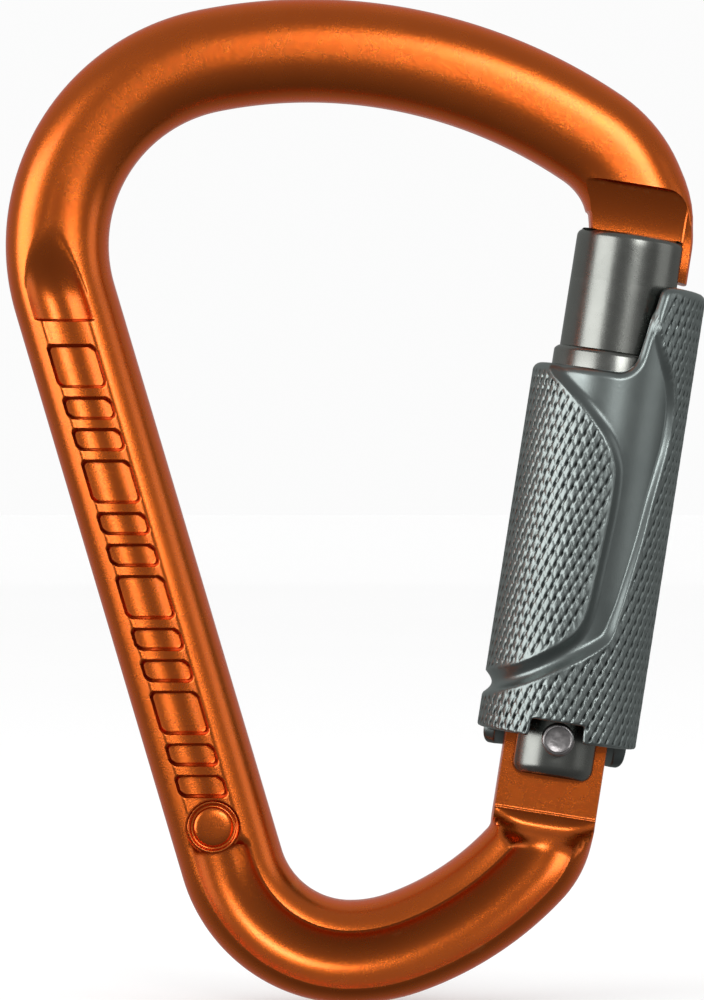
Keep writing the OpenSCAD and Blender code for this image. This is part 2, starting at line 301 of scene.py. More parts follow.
def ring_stations(total):
    """Distances along the loop at which the body has rings, crowded where the relief has walls."""
    lines = [0.0, total]
    for a, b in pocket_runs():
        lines += [a - d for d in WALL_LINES] + [b + d for d in WALL_LINES]
    lines += [PLATE_FROM + d for d in (-0.3, -0.2, -0.1, 0.0, 0.1, 0.2, 0.3)]
    shoulder = total - (TANG_TOP - SHOULDER)
    lines += [shoulder + d for d in (-0.2, -0.1, 0.0, 0.06, 0.12, 0.18, 0.24, 0.3, 0.36, 0.45)]
    lines += [total - 0.12, total - 0.35]
    return filled(lines, lambda s: next(step for end, step in SPACING if s <= end))


def slanted(s, n):
    """Where a point of ring s lies along the loop: the rings lean with the pockets on the spine."""
    share = smooth(90.0, 101.5, s) * (1 - smooth(164.5, 176.0, s))
    return s - POCKET_SLANT * (n - CHANNEL_N) * share


def loop_lengths():
    """Length of each stretch of the loop."""
    return [turn if r == 0 else r * math.radians(turn) for r, turn in LOOP]


def walk(s):
    """x, z and heading in radians at distances s along the loop."""
    start = HINGE + NOSE_TIP * UP
    x, z, h = start[0], start[2], math.radians(HEADING)
    xs, zs, hs = np.zeros_like(s), np.zeros_like(s), np.zeros_like(s)
    at = 0.0
    for (r, turn), length in zip(LOOP, loop_lengths()):
        here = s >= at - 1e-9
        d = s[here] - at
        if r == 0:
            xs[here], zs[here], hs[here] = x + d * math.cos(h), z + d * math.sin(h), h
            x, z = x + length * math.cos(h), z + length * math.sin(h)
        else:
            t = h + d / r
            xs[here] = x + r * (np.sin(t) - math.sin(h))
            zs[here] = z - r * (np.cos(t) - math.cos(h))
            hs[here] = t
            end = h + math.radians(turn)
            x, z = x + r * (math.sin(end) - math.sin(h)), z - r * (math.cos(end) - math.cos(h))
            h = end
        at += length
    return xs, zs, hs


def hollow(across, r):
    """Rise of a round-bottomed channel of radius r, at a distance from its middle line."""
    return r - np.sqrt(r * r - np.clip(np.abs(across), 0, r - 0.02) ** 2)


def relief(s, n):
    """Height of the forged face above the bar's middle plane in the channel, and the shade on its walls."""
    across = n - CHANNEL_N
    channel = BAR_HALF_T - CHANNEL_DEPTH * smooth(91.0, 99.3, s) + hollow(across, CHANNEL_R)
    plate = BAR_HALF_T - PLATE_SINK + hollow(across, PLATE_R)
    pocket = BAR_HALF_T - POCKET_SINK + hollow(across, POCKET_R)
    edge = np.full(np.broadcast(s, n).shape, np.inf)
    for a, b in pocket_runs():
        box = round_box(s - (a + b) / 2, across, (b - a) / 2, POCKET_HALF, POCKET_CORNER)
        edge = np.minimum(edge, box)
    raised = smooth(-WALL, WALL, edge)
    begun = smooth(PLATE_FROM - WALL, PLATE_FROM + WALL, s)
    zone = begun * (1 - smooth(PLATE_TO - 0.3, PLATE_TO + 0.3, s))
    # Painted shade: darkest halfway up each pocket wall and along the plate's start line
    shade = 4 * raised * (1 - raised) * zone + 4 * zone * (1 - zone) * (s < PLATE_FROM + 1)
    return channel * (1 - zone) + (plate * raised + pocket * (1 - raised)) * zone, shade


def tang_height(u, z):
    """Half-thickness of the tang: a flat plate down to a low bead, then a hollow that narrows below it."""
    below = SHOULDER - z
    across = np.abs(u - 0.2)

    def ramp(x, k):
        """x above 0 and 0 below, with a rounded turn."""
        return (x + np.sqrt(x * x + k)) / 2

    bead = 0.11 * smooth(-0.3, 0.0, below)
    dip = 0.36 * (1 - np.clip(1 - below / 1.3, 0, 1) ** 2) * (below > 0)
    rise = 0.4 * smooth(1.5, 2.4, below + 0.02 * across ** 2)
    spread = across - 5.6 + 1.1 * np.maximum(below, 0)
    wall = 0.55 * np.maximum(ramp(spread, 0.5) - 0.1, 0) * smooth(0, 0.9, below)
    return TANG_HALF_T + bead - dip + rise + wall + 0.8 * ramp(below - 2.6, 0.3) * smooth(0, 1, below)


def scooped(z):
    """Half-thickness of the nose plate, which a round cutter leaves thinner toward the tip."""
    return NOSE_HALF_T + SCOOP_R - np.sqrt(SCOOP_R ** 2 - np.clip(z - SCOOP_FROM, 0, 9) ** 2)


def slab_cutter(name, side, u, z, height):
    """Cutter solid from a surface over the gate's u and z out past the bar's face on one side."""
    near = gate_point(u, side * height, z)
    far = gate_point(u, side * PAST_FACE, z)
    count, size = z.shape
    faces = []
    for k in range(count - 1):
        for i in range(size - 1):
            a = k * size + i
            quad = (a, a + 1, a + size + 1, a + size)
            faces += [quad, tuple(count * size + v for v in quad)]
    rim = list(range(size)) + [k * size + size - 1 for k in range(1, count)]
    rim += [(count - 1) * size + i for i in range(size - 2, -1, -1)]
    rim += [k * size for k in range(count - 2, 0, -1)]
    for a, b in zip(rim, rim[1:] + rim[:1]):
        faces.append((a, b, count * size + b, count * size + a))
    return mesh_object(name, np.concatenate([near.reshape(-1, 3), far.reshape(-1, 3)]), faces)


def nose_cutter(side):
    """Milling cut of the nose plate: a scoop that deepens toward the tip, with a filleted edge."""
    left, right, top, corner, fillet = -14, 5.6, 63.9, 2.4, 0.5
    rows = filled([50.0, 57.5, 61.0, 63.0, top - 0.05, top],
                  lambda z: 8 if z < 57 else 0.35 if z < 61 else 0.2 if z < 63 else 0.08)
    crowded = 3.6 + 2.0 * (1 - (1 - np.linspace(0, 1, 24)) ** 2)
    lines = np.concatenate([np.linspace(left, -6, 3)[:-1], np.linspace(-6, 3.6, 30)[:-1], crowded])
    share = (lines - left) / (right - left)
    bite = np.sqrt(np.maximum(corner ** 2 - (rows - top + corner) ** 2, 0))
    reach = np.where(rows > top - corner, right - corner + bite, right)
    u = left + (reach[:, None] - left) * share[None, :]
    z = np.repeat(rows[:, None], len(share), 1)
    qu, qz = u - (right - corner), z - (top - corner)
    outside = np.hypot(np.maximum(qu, 0), np.maximum(qz, 0)) + np.minimum(np.maximum(qu, qz), 0)
    inward = fillet - np.clip(corner - outside, 0, fillet)
    height = scooped(z) + fillet - np.sqrt(np.maximum(fillet ** 2 - inward ** 2, 0))
    return slab_cutter("nose_cutter", side, u, z, np.minimum(height, 7.5))


def boss_point(dx, y, dz):
    """World millimetres of a point beside the boss's centre."""
    x, z, h = walk(np.array([BOSS_S]))
    x, z = x[0] + CHANNEL_N * math.sin(h[0]), z[0] - CHANNEL_N * math.cos(h[0])
    return np.stack(np.broadcast_arrays(x + dx, y, z + dz), axis=-1)


def boss_pit(side):
    """Round sinking in which the boss sits, with a narrow gap round it."""
    profile = [(BOSS_PIT_R, side * (BAR_HALF_T - BOSS_PIT_DEPTH)), (BOSS_PIT_R, side * PAST_FACE)]
    return turned_across("boss_pit", profile, boss_point, BOSS_TURNS, capped=True)


def section_power(stations, nose_z, tang_z):
    """Exponent of the bar's section, a superellipse: squarer on the wide basket, the nose and the tang."""
    arch = 0.45 * (1 - smooth(15, 75, stations))
    spine = 0.25 * smooth(85, 100, stations)
    at_nose = 1 - smooth(58.0, 64.5, nose_z)
    at_tang = smooth(-11.5, -8.6, tang_z) * (stations > NEAR_TANG)
    return 2.45 + arch + spine + 1.2 * at_nose + 6.0 * at_tang


def section_half_width(stations, tang_z):
    """Half-width of the bar, rounded off at the tang's top."""
    over = np.clip(tang_z - (TANG_TOP - TANG_CORNER), 0, TANG_CORNER)
    rounded = BAR_HALF_W - TANG_CORNER + np.sqrt(TANG_CORNER ** 2 - over ** 2)
    return np.where(stations > NEAR_TANG, rounded, BAR_HALF_W)


def body_end(first, width, sides):
    """Faces that close one end ring of the body, from its first point: strips front to rear and two edges."""
    front = [first + i for i in range(width)]
    outer = [first + width + i for i in range(sides)]
    rear = [first + width + sides + (width - 1 - i) for i in range(width)]
    inner = [first + 2 * width + sides + i for i in range(sides)]
    faces = [(front[i], front[i + 1], rear[i + 1], rear[i]) for i in range(width - 1)]
    return faces + [(front[-1], *outer, rear[-1]), (rear[0], *inner, front[0])]


def make_body():
    """The forging: rounded sections along the loop with the channel, then its milled and drilled cuts."""
    total = sum(loop_lengths())
    stations = ring_stations(total)
    # Lines across the bar, crowded at the pockets' side walls, as shares of its half-width
    walls = [CHANNEL_N + side * (POCKET_HALF + d) for d in WALL_LINES for side in (-1, 1)]
    face = filled([-0.985 * BAR_HALF_W, 0.985 * BAR_HALF_W] + walls,
                  lambda n: 0.24 if abs(n - CHANNEL_N) > 2.5 else 0.4)
    face = face / BAR_HALF_W
    side = np.linspace(-1, 1, 11)[1:-1]
    nose_z = NOSE_TIP + stations
    tang_z = TANG_TOP - (total - stations)
    power = section_power(stations, nose_z, tang_z)[:, None]
    half_w = section_half_width(stations, tang_z)[:, None]
    shift = 0.8 * (1 - smooth(57.5, 64.0, nose_z))[:, None]
    lengths = stations[:, None]

    base = BAR_HALF_T * np.maximum(1 - np.abs(face[None, :]) ** power, 0) ** (1 / power)
    n = shift + half_w * face[None, :]

    # A little more metal in the tight inner bend above the gate
    bend = 0.3 * np.exp(-((lengths - 6.8) / 2.4) ** 2)
    n = np.where(n < shift, n + bend * (n - shift) / half_w, n)

    def placed(nn):
        """World x and z of points nn across the bar on every ring."""
        x, z, h = walk(np.clip(slanted(lengths, nn), 0, total))
        return x + nn * np.sin(h), z - nn * np.cos(h)

    # The rim of the nose's milling cut, the forged channel, and the tang's plate and hollow
    wx, wz = placed(n)
    dx, dz = wx - HINGE[0], wz - HINGE[2]
    gate_u, gate_z = dx * OUT[0] + dz * OUT[2], dx * UP[0] + dz * UP[2]
    nose_rim = scooped(gate_z) + 0.15 + 3.0 * smooth(61.5, 64.5, gate_z)
    top = soft_min(base, np.where(lengths < NEAR_NOSE, nose_rim, PAST_FACE), 0.12)
    dished = (lengths > CHANNEL_FROM) & (lengths < total - 4.0)
    forged, shade = relief(lengths, n)
    # The channel runs out at the tang's hollow
    forged = forged + 4 * smooth(2.9, 1.9, SHOULDER - gate_z) * (lengths > NEAR_TANG)
    top = np.where(dished, soft_min(top, forged, 0.16), top)
    top = np.where(lengths > NEAR_TANG, soft_min(top, tang_height(gate_u, gate_z), 0.55), top)
    shade = np.where(dished & (forged < base - 0.02), shade, 0)

    # Sides: from the rear face round to the front face at each edge
    side_y = np.minimum(base[:, -1:], np.minimum(top[:, -1:], top[:, :1]))
    sy = side_y * side[None, :]
    sv = (1 - np.minimum(np.abs(sy) / BAR_HALF_T, 1) ** power) ** (1 / power)

    def ring_part(nn, yy):
        px, pz = placed(nn)
        return np.stack([px, yy, pz], axis=-1)

    # Front runs inside to outside, then the outer side, the rear back again, and the inner side
    front = ring_part(n, -top)
    outer = ring_part(shift + half_w * sv, sy)
    rear = ring_part(n[:, ::-1], top[:, ::-1])
    inner = ring_part(shift - (half_w + bend) * sv, sy[:, ::-1])
    rings = np.concatenate([front, outer, rear, inner], axis=1)
    blank = np.zeros_like(sy)
    # Painted shade of the relief walls on the front and rear faces, none on the sides
    painted_shade = np.concatenate([shade, blank, shade[:, ::-1], blank], axis=1)

    # The nose ends on an arc about the rivet
    u = (rings - HINGE) @ OUT
    drop = np.sqrt(np.maximum(NOSE_TIP ** 2 - u ** 2, 0)) - NOSE_TIP
    drop = drop * np.clip(1 - stations / 3.0, 0, 1)[:, None]
    rings = rings + drop[..., None] * UP
    # Eased ends
    for k, ease in ((0, 0.22), (1, 0.05), (-1, 0.22), (-2, 0.05)):
        rings[k, :, 1] *= 1 - ease / np.maximum(np.abs(rings[k, :, 1]).max(), 1)

    count, size = rings.shape[:2]
    faces = ring_faces(count, size)
    for first in (0, (count - 1) * size):
        faces += body_end(first, len(face), len(side))
    piece = mesh_object("forged_body", rings.reshape(-1, 3), faces, 50, painted_shade)
    bore = [(TANG_BORE_R, -8.0), (TANG_BORE_R, 8.0)]
    cut(piece, turned_across("bore_cutter", bore, gate_point, 48, capped=True))
    cut(piece, nose_cutter(-1))
    cut(piece, nose_cutter(1))
    cut(piece, boss_pit(-1))
    cut(piece, boss_pit(1))
    return piece


body = make_body()
boss = turned_across("forged_boss", both_faces([(r, sunk - BAR_HALF_T) for r, sunk in BOSS]),
                     boss_point, BOSS_TURNS, 50)

# ---------------------------------------------------------------- gate
SHAFT_R = 5.4
HEAD_R = 6.54
GATE_TOP = 58.2
GATE_ROUNDING = 0.8
SLOT_FLOOR = 52.4
SLOT_HALF = 3.2
SLOT_IN = -5.25
SLOT_CORNER = 1.0
# Shaft up to the foot of the head, as (radius, height)
SHAFT = [(2.0, 6.95), (4.6, 6.95), (5.3, 6.98), (SHAFT_R, 7.08), (SHAFT_R, 20), (SHAFT_R, 37.95),
         (HEAD_R - 0.12, 38.0)]
EAR_INNER_Y = 2.6
EAR_BOTTOM = -4.4
EAR_ROUNDING = 1.3
EAR_HEIGHTS = (-2.6, -1.5, 0.0, 2.0, 5.0, 7.6)
# Ring above the sleeve, as (radius, height)
COLLAR = [(6.45, 40.0), (7.13, 40.0), (7.13, 44.05), (7.09, 44.22), (6.98, 44.36), (6.72, 44.58),
          (6.6, 44.62), (6.45, 44.62)]
# Rivet head and half its pin, as (radius, y): a bevelled edge round a shallow recess
RIVET = [(0.0, 6.86), (0.7, 6.87), (1.38, 6.89), (1.46, 6.93), (1.52, 7.0), (1.6, 7.0), (1.74, 6.94),
         (1.84, 6.84), (1.88, 6.7), (1.88, 4.2), (1.5, 4.2), (1.5, 3.0)]


def arc_points(r, start, end, count):
    """Points on an arc about the gate's axis between two angles in degrees."""
    angles = [math.radians(start + (end - start) * i / (count - 1)) for i in range(count)]
    return [(r * math.cos(a), r * math.sin(a)) for a in angles]


def soften(outline, times):
    """Closed outline with its corners eased by averaging neighbours."""
    for _ in range(times):
        outline = 0.25 * np.roll(outline, 1, 0) + 0.5 * outline + 0.25 * np.roll(outline, -1, 0)
    return outline


def inset(outline, distance):
    """The outline moved inward along its normals; it runs counter-clockwise."""
    ahead, behind = np.roll(outline, -1, 0), np.roll(outline, 1, 0)
    tangent = ahead - behind
    tangent /= np.linalg.norm(tangent, axis=1)[:, None] + 1e-9
    normal = np.stack([-tangent[:, 1], tangent[:, 0]], 1)
    return outline + normal * distance


def loft(name, levels, sharp):
    """Closed solid from [(outline, z), ...] in gate coordinates, outlines of equal length."""
    size = len(levels[0][0])
    rings = [np.column_stack([outline, np.full(size, z)]) for outline, z in levels]
    faces = ring_faces(len(rings), size) + end_faces(len(rings), size)
    return mesh_object(name, on_gate(np.concatenate(rings)), faces, sharp)


def slotted_outline():
    """The head's outline with its slot, the part of it on the outer arc, and half the slot's angle."""
    # The outer arc runs counter-clockwise from the slot's rear lip round to its front lip
    edge = math.degrees(math.asin(SLOT_HALF / HEAD_R))
    arc = arc_points(HEAD_R, edge, 360 - edge, 141)
    lip = HEAD_R * math.cos(math.radians(edge))
    start = SLOT_IN + SLOT_CORNER
    turn_y = SLOT_HALF - SLOT_CORNER
    front = [(x, -SLOT_HALF) for x in np.linspace(lip, start, 26)[1:]]
    corner = [(start - SLOT_CORNER * math.sin(t), -turn_y - SLOT_CORNER * math.cos(t))
              for t in np.linspace(0, math.pi / 2, 7)[1:]]
    floor = [(SLOT_IN, y) for y in np.linspace(-turn_y, turn_y, 10)[1:-1]]
    rear = [(x, SLOT_HALF) for x in np.linspace(start, lip, 26)[:-1]]
    return np.array(arc + front + corner + floor + [(x, -y) for x, y in reversed(corner)] + rear), arc, edge


def make_gate_tube():
    """Gate tube: shaft, head and the slotted top that closes over the nose plate."""
    slotted, arc, edge = slotted_outline()
    full = np.array(arc + arc_points(HEAD_R, -edge, edge, len(slotted) - len(arc) + 2)[1:-1])
    head = soften(slotted, 2)
    levels = [(full * r / HEAD_R, z) for r, z in SHAFT]
    levels += [(full, z) for z in (38.12, 40.0, 44.9, *np.linspace(45.2, SLOT_FLOOR, 8))]
    levels.append((head, SLOT_FLOOR + 0.001))
    levels += [(head, z) for z in np.linspace(SLOT_FLOOR + 0.4, GATE_TOP - GATE_ROUNDING, 7)]
    for t in np.linspace(0, math.pi / 2, 8)[1:]:
        shrunk = soften(inset(head, GATE_ROUNDING * (1 - math.cos(t))), 1)
        levels.append((shrunk, GATE_TOP - GATE_ROUNDING * (1 - math.sin(t))))
    return loft("gate_tube_visual", levels, 38)


def make_ear(name, side):
    """One of the two ears that straddle the tang, with its lower edge rounded."""
    span = math.degrees(math.acos(EAR_INNER_Y / SHAFT_R))
    lip = SHAFT_R * math.sin(math.radians(span))
    chord = [(x, -EAR_INNER_Y) for x in np.linspace(lip, -lip, 40)[1:-1]]
    outline = soften(np.array(arc_points(SHAFT_R, -90 - span, -90 + span, 60) + chord), 3)
    centre = np.array([0.0, -3.9])
    half_size = np.array([5.0, 1.75])
    levels = []
    for t in np.linspace(0, math.pi / 2, 9):
        scale = 1 - EAR_ROUNDING * (1 - math.sin(t)) / half_size
        levels.append((centre + (outline - centre) * scale, EAR_BOTTOM + EAR_ROUNDING * (1 - math.cos(t))))
    levels += [(outline, z) for z in EAR_HEIGHTS]
    if side > 0:
        levels = [(-outline, z) for outline, z in levels]
    return loft(name, levels, 38)


gate_tube = make_gate_tube()
ear_front = make_ear("gate_ear_front", -1)
ear_rear = make_ear("gate_ear_rear", 1)
collar = turned_ring("guide_collar_visual", COLLAR, 96, 30)
rivet = turned_across("hinge_rivet_visual", both_faces(RIVET), gate_point, 72, 35)

# ---------------------------------------------------------------- locking sleeve
SLEEVE_R = 9.22
SLEEVE_PLAY = 0.03       # how far the smooth surface lies inside that
BORE_R = 7.35
THINNEST = 0.45
SLEEVE_TOP = 42.3
TOP_ROUNDING = 1.0
LOW_ROUNDING = 0.35
LOBE_TOP = 52.8
LOBE_TILT = math.radians(10.3)
# Knurl: diamonds round the sleeve and the height of one, with its columns and rows of points
DIAMONDS = 52
RISE = 2.54
LINES_PER_DIAMOND = 9
EVEN_FROM = 3.0
EVEN_TO = 39.01
# Shares of the way from the low edge up to the even rows, and from them to the top edge, closer at the edges
LOW_SHARES = np.array([0, 0.02, 0.05, 0.1, 0.17, 0.26, 0.36, 0.46, 0.56, 0.66, 0.76, 0.88])
TOP_SHARES = 1 - np.concatenate([[0, 0.008, 0.02, 0.035, 0.055, 0.08], np.linspace(0.1, 0.97, 36)])[::-1]
# Where the two edges turn, as distances outward from the gate's axis
EDGE_LINES = (0.6, 1.2, 1.7, 2.1, 2.4, 2.6, 2.75, 2.9, 3.1, 3.3, 3.5, 3.7, 3.9, 4.1, 4.4,
              -3.95, -3.75, -3.68, -3.63, -3.6, -3.5, 2.6, 2.7, 2.74, 2.8, 2.85)
# Low edge with the rivet's notch, as (outward, height)
LOW_EDGE = [(-20, 0.0), (-3.95, 0.0), (-3.75, 0.08), (-3.66, 0.3), (-3.6, 1.7), (-3.5, 1.92), (-3.3, 2.0),
            (2.4, 2.0), (2.6, 1.92), (2.7, 1.7), (2.76, 0.3), (2.85, 0.08), (3.05, 0.0), (20, 0.0)]
# Smooth sweep beside the lobe that turns into a groove round the foot: (degrees round from the front, height)
SWEEP_LEFT = [(-63, 43.2), (-52, 41.2), (-39, 39.9), (-19.3, 37.6), (-1.2, 34.7), (7.0, 32.4), (10.2, 30.4),
              (10.6, 27.0), (9.4, 23.5), (7.9, 19.9), (6.6, 16.9), (4.6, 14.4), (0.5, 12.6), (-6, 11.4),
              (-15, 10.24), (-32, 8.5), (-50, 7.35), (-75, 6.58), (-92, 6.37), (-110, 6.3)]
SWEEP_RIGHT = [(-110, 3.7), (-92, 3.73), (-75, 3.9), (-50, 4.65), (-32, 5.65), (-15, 7.1), (0, 8.65),
               (10, 9.75), (20, 11.0), (25.6, 11.9), (28.4, 13.0), (30.2, 14.8), (33.2, 17.4), (40.4, 23.6),
               (44.9, 28.4), (49.2, 32.0), (52.8, 35.3), (52.4, 39.0), (46.5, 42.0), (37.4, 44.6),
               (27.5, 47.8), (23.5, 50.0), (21.5, 51.5)]
# Two points above the sleeve that close the sweep's outline, the same way
SWEEP_CLOSING = [(10, 60.0), (-66, 60.0)]
GROOVE_HALF = 1.35
GROOVE_DEPTH = 0.9
SWEEP_WALL_LEFT = 1.3
SWEEP_WALL_RIGHT = 0.7
SWEEP_DEPTH = 0.72
# Bore from the top back down: shares of the height, with eased mouths
BORE_SHARES = np.array([1.0, 1.0, 0.97, 0.5, 0.03, 0.0, 0.0])
BORE_EASE = np.array([0.25, 0.08, 0.0, 0.0, 0.0, 0.08, 0.25])
BORE_LIFT = np.array([0.0, -0.12, 0, 0, 0, 0.12, 0.0])
# Tabs under the sleeve's rear half
SKIRT_OUTER_R = 8.75
SKIRT_INNER_R = 7.37
SKIRT_FROM, SKIRT_TO = math.radians(108), math.radians(161.5)
SKIRT_DROP = {1: 2.6, -1: 1.95}
SKIRT_ROOT = 1.0
SKIRT_CORNER = 1.5
SKIRT_EDGE = 0.45
SKIRT_INNER_EDGE = 0.3
SKIRT_COLUMNS = 40


def lobe_outline():
    """Top edge of the sleeve as (u, z): flat, up a fillet and a leaning side, and over a rounded corner."""
    start, fillet, corner = 0.1, 2.7, 1.3
    points = [(-20.0, SLEEVE_TOP)]
    for t in np.linspace(0, math.pi / 2 - LOBE_TILT, 14):
        points.append((start + fillet * math.sin(t), SLEEVE_TOP + fillet * (1 - math.cos(t))))
    foot = points[-1]
    head_z = LOBE_TOP - corner + corner * math.sin(LOBE_TILT)
    head_u = foot[0] + (head_z - foot[1]) * math.tan(LOBE_TILT)
    centre = head_u + corner * math.cos(LOBE_TILT)
    for t in np.linspace(LOBE_TILT, math.pi / 2, 9):
        points.append((centre - corner * math.cos(t), LOBE_TOP - corner + corner * math.sin(t)))
    points.append((20.0, LOBE_TOP))
    return points


TOP_EDGE = lobe_outline()


def edge_height(u, edge):
    """Height of one of the sleeve's edges at distances outward from the gate's axis."""
    us, heights = zip(*edge)
    return np.interp(u, us, heights)


def unrolled(edge):
    """An edge given as (u, z) on the unrolled cylinder, from one side of the sleeve to the other."""
    dense = []
    for (u0, z0), (u1, z1) in zip(edge[:-1], edge[1:]):
        for t in np.linspace(0, 1, 5)[:-1]:
            u = np.clip(u0 + (u1 - u0) * t, -SLEEVE_R, SLEEVE_R)
            dense.append((SLEEVE_R * math.asin(u / SLEEVE_R), z0 + (z1 - z0) * t))
    side = SLEEVE_R * math.pi / 2
    within = [p for p in dense if abs(p[0]) < side - 0.01]
    return [(-side, dense[0][1])] + within + [(side, edge[-1][1])]


def inner_angle(phi):
    """Angle on the bore that lies straight behind an angle on the outside, near the front and the rear."""
    folded = np.arcsin(np.sin(phi))
    limit = math.radians(35)
    ratio = SLEEVE_R / BORE_R
    near = np.arcsin(np.clip(ratio * np.sin(folded), -1, 1))
    at_limit = math.asin(ratio * math.sin(limit))
    share = (np.abs(folded) - limit) / (math.pi / 2 - limit)
    far = np.sign(folded) * (at_limit + share * (math.pi / 2 - at_limit))
    moved = np.where(np.abs(folded) < limit, near, far)
    return phi + np.where(np.cos(phi) >= 0, 1, -1) * (moved - folded)


def sleeve_columns():
    """Angles of the sleeve's columns of points: even for the knurl, with more where the edges turn."""
    columns = DIAMONDS * LINES_PER_DIAMOND
    phi = list(np.arange(columns) * TURN / columns)
    for u in EDGE_LINES:
        a = math.asin(u / SLEEVE_R)
        phi += [a % TURN, (math.pi - a) % TURN]
    phi = np.array(sorted(phi))
    return phi[np.append(True, np.diff(phi) >= 0.0012)]


def above_groove(z):
    """1 where the sweep is broad, 0 down in the groove."""
    return smooth(10.5, 17.0, z)


def sweep(arc, z):
    """Depth of the sweep, whether points are in it, and their distances from its left and right walls."""
    def spread(points):
        return [(SLEEVE_R * math.radians(a), h) for a, h in points]

    left, right = (spread(curve_through(line, 6)) for line in (SWEEP_LEFT, SWEEP_RIGHT))
    inside = inside_polygon(arc, z, left + right + spread(SWEEP_CLOSING))
    wall_left, wall_right = line_distance(arc, z, left), line_distance(arc, z, right)
    high = above_groove(z)
    depth = np.where(inside, GROOVE_DEPTH + (SWEEP_DEPTH - GROOVE_DEPTH) * high, 0)
    for gap, width in ((wall_left, SWEEP_WALL_LEFT), (wall_right, SWEEP_WALL_RIGHT)):
        width = GROOVE_HALF + (width - GROOVE_HALF) * high
        depth = depth * np.sin(math.pi / 2 * np.clip(gap / width, 0, 1))
    return depth, inside, wall_left, wall_right


def knurl(angle, z):
    """Height of the diamond knurl, and how deep a point is in one of its slits, which is also how much
    painted shade darkens it.
    """
    def fold(t):
        """Distance from the nearest whole number, as a share of the most there can be."""
        return 2 * np.minimum(t % 1, 1 - t % 1)

    a, b = angle * DIAMONDS / TURN, z / RISE
    rising, falling = fold(a - b), fold(a + b)
    slit = np.clip(1.25 - 2.6 * rising, 0, 1) * smooth(0.3, 0.75, falling)
    grooves = 0.1 * np.clip(1 - 2.6 * rising, 0, 1) + 0.09 * np.clip(1 - 2.6 * falling, 0, 1)
    return -grooves - 0.09 * slit, slit


def rounding(distance, r):
    """How far an edge rounded with radius r has fallen away, at a distance from it."""
    d = np.clip(distance / r, 0, 1)
    return r * (1 - np.sqrt(np.maximum(1 - (1 - d) ** 2, 0)))


def make_sleeve():
    """Knurled sleeve with the locking lobe: columns of points up the outside and back down the bore."""
    phi = sleeve_columns()
    u = SLEEVE_R * np.sin(phi)
    top, low = edge_height(u, TOP_EDGE)[:, None], edge_height(u, LOW_EDGE)[:, None]
    even = np.arange(EVEN_FROM, EVEN_TO, RISE / LINES_PER_DIAMOND)
    z = np.concatenate([low + (EVEN_FROM - low) * LOW_SHARES, np.repeat(even[None, :], len(phi), 0),
                        even[-1] + (top - even[-1]) * TOP_SHARES], axis=1)
    angle = np.repeat(phi[:, None], z.shape[1], 1)
    arc = SLEEVE_R * np.arcsin(np.clip(np.sin(angle), -1, 1))
    from_top = line_distance(arc, z, unrolled(TOP_EDGE))
    from_low = line_distance(arc, z, unrolled(LOW_EDGE))

    depth, inside, wall_left, wall_right = sweep(arc, z)
    pattern, slit = knurl(angle, z)
    clear = np.where(inside, 0, smooth(0.2, 0.6, np.minimum(wall_left, wall_right)))
    clear = clear * smooth(0.55, 1.5, from_top) * smooth(0.05, 0.4, from_low)
    # Painted shade: dark in the slits, and a band of painted shadow along the foot of the sweep's left wall
    painted_shade = clear * slit + 0.32 * inside * above_groove(z) * (1 - smooth(0.3, 3.4, wall_left))

    radius = SLEEVE_R - SLEEVE_PLAY - depth + pattern * clear
    radius = radius - rounding(from_top, TOP_ROUNDING) - rounding(from_low, LOW_ROUNDING)
    radius = np.maximum(radius, BORE_R + THINNEST)
    outer = np.stack([radius * np.sin(angle), -radius * np.cos(angle), z], axis=-1)

    behind = inner_angle(phi)[:, None]
    bore_z = low + (top - low) * BORE_SHARES + BORE_LIFT
    bore_r = BORE_R + BORE_EASE
    inner = np.stack([bore_r * np.sin(behind), -bore_r * np.cos(behind), bore_z], axis=-1)
    loops = np.concatenate([outer, inner], axis=1)
    painted_shade = np.concatenate([painted_shade, 0 * bore_z], axis=1)
    count, size = loops.shape[:2]
    faces = []
    for a, b, c, d in ring_faces(count, size, closed=True):
        faces += [(a, b, c), (a, c, d)]
    return mesh_object("locking_sleeve_visual", on_gate(loops.reshape(-1, 3)), faces, 45, painted_shade)


def make_skirt(name, side):
    """Rounded tab under the sleeve's rear half, beside the tang."""
    length = SKIRT_OUTER_R * (SKIRT_TO - SKIRT_FROM)
    inner_edge_r = SKIRT_INNER_R + SKIRT_INNER_EDGE
    grid = []
    for i in range(SKIRT_COLUMNS + 1):
        t = i / SKIRT_COLUMNS
        a = SKIRT_FROM + (SKIRT_TO - SKIRT_FROM) * t
        from_end = min(length * t, length - length * t, SKIRT_CORNER)
        lift = SKIRT_CORNER - math.sqrt(max(0.0, SKIRT_CORNER ** 2 - (SKIRT_CORNER - from_end) ** 2))
        bottom = lift - SKIRT_DROP[side]
        section = [(SKIRT_OUTER_R, z) for z in np.linspace(SKIRT_ROOT, bottom + SKIRT_EDGE, 9)]
        for q in np.linspace(0, math.pi / 2, 7)[1:]:
            section.append((SKIRT_OUTER_R - SKIRT_EDGE * (1 - math.cos(q)),
                            bottom + SKIRT_EDGE * (1 - math.sin(q))))
        for q in np.linspace(0, math.pi / 2, 5):
            section.append((inner_edge_r - SKIRT_INNER_EDGE * math.sin(q),
                            bottom + SKIRT_INNER_EDGE * (1 - math.cos(q))))
        section.append((SKIRT_INNER_R, SKIRT_ROOT))
        grid.append([(side * r * math.sin(a), -r * math.cos(a), z) for r, z in section])
    size = len(grid[0])
    points = np.array(grid).reshape(-1, 3)
    faces = ring_faces(len(grid), size) + end_faces(len(grid), size)
    # Painted shade: the whole tab is darkened evenly, as it sits in shadow under the sleeve
    return mesh_object(name, on_gate(points), faces, painted_shade=np.full(len(points), 0.4))


sleeve = make_sleeve()
skirt_right = make_skirt("sleeve_skirt_right", 1)
skirt_left = make_skirt("sleeve_skirt_left", -1)


